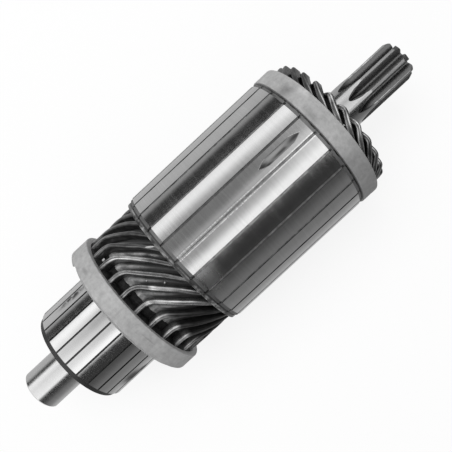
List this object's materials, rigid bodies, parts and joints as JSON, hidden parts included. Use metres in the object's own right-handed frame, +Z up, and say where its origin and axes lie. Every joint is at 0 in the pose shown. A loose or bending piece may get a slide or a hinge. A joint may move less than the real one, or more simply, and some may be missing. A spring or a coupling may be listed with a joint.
{
  "type": "motor armature",
  "caption": "Wound armature of a DC motor: slotted steel core on a shaft, hairpin winding held by two bands, commutator at one end and a toothed pinion on the other.",
  "frame": {"origin": "on the shaft axis, halfway along the shaft", "axes": "+X along the shaft from the commutator end to the pinion end, +Z up, away from the surface on which it lies on its two bands, +Y to complete the right-handed frame"},
  "size_m": [0.2368, 0.0768, 0.0768],
  "materials": {
    "shaft_steel": "turned and ground bare steel",
    "core_steel": "ground around the core, with a fine grain across the sheets' edges",
    "end_sheet_steel": "dull punched sheet, not ground",
    "fibre_board": "matt fibre board, varnished",
    "slot_paper": "varnished insulating paper",
    "sleeve_paper": "varnished insulating paper",
    "mica": "dull, cut back below the bars",
    "dark_moulding": "moulded thermoset, satin",
    "band_fibre": "resin-bonded fibre tape, pale and faintly mottled",
    "bar_copper": "turned copper, bright, with faint brush marks",
    "varnished_conductor": "copper bar under dark gloss varnish"
  },
  "bodies": {
    "root": {"armature_shaft": "shaft_steel", "core_stack": "core_steel", "end_laminations": "end_sheet_steel", "end_plates": "fibre_board", "slot_liners": "slot_paper", "mica_segments": "mica", "commutator_moulding": "dark_moulding", "layer_sleeves": "sleeve_paper", "commutator_band": "band_fibre", "drive_band": "band_fibre", "commutator_bar_01": "bar_copper", "commutator_bar_02": "bar_copper", "commutator_bar_03": "bar_copper", "commutator_bar_04": "bar_copper", "commutator_bar_05": "bar_copper", "commutator_bar_06": "bar_copper", "commutator_bar_07": "bar_copper", "commutator_bar_08": "bar_copper", "commutator_bar_09": "bar_copper", "commutator_bar_10": "bar_copper", "commutator_bar_11": "bar_copper", "commutator_bar_12": "bar_copper", "commutator_bar_13": "bar_copper", "commutator_bar_14": "bar_copper", "commutator_bar_15": "bar_copper", "commutator_bar_16": "bar_copper", "commutator_bar_17": "bar_copper", "commutator_bar_18": "bar_copper", "commutator_bar_19": "bar_copper", "commutator_bar_20": "bar_copper", "commutator_bar_21": "bar_copper", "commutator_bar_22": "bar_copper", "commutator_bar_23": "bar_copper", "commutator_bar_24": "bar_copper", "commutator_bar_25": "bar_copper", "hairpin_coil_01": "varnished_conductor", "hairpin_coil_02": "varnished_conductor", "hairpin_coil_03": "varnished_conductor", "hairpin_coil_04": "varnished_conductor", "hairpin_coil_05": "varnished_conductor", "hairpin_coil_06": "varnished_conductor", "hairpin_coil_07": "varnished_conductor", "hairpin_coil_08": "varnished_conductor", "hairpin_coil_09": "varnished_conductor", "hairpin_coil_10": "varnished_conductor", "hairpin_coil_11": "varnished_conductor", "hairpin_coil_12": "varnished_conductor", "hairpin_coil_13": "varnished_conductor", "hairpin_coil_14": "varnished_conductor", "hairpin_coil_15": "varnished_conductor", "hairpin_coil_16": "varnished_conductor", "hairpin_coil_17": "varnished_conductor", "hairpin_coil_18": "varnished_conductor", "hairpin_coil_19": "varnished_conductor", "hairpin_coil_20": "varnished_conductor", "hairpin_coil_21": "varnished_conductor", "hairpin_coil_22": "varnished_conductor", "hairpin_coil_23": "varnished_conductor", "hairpin_coil_24": "varnished_conductor", "hairpin_coil_25": "varnished_conductor"}
  },
  "joints": []
}
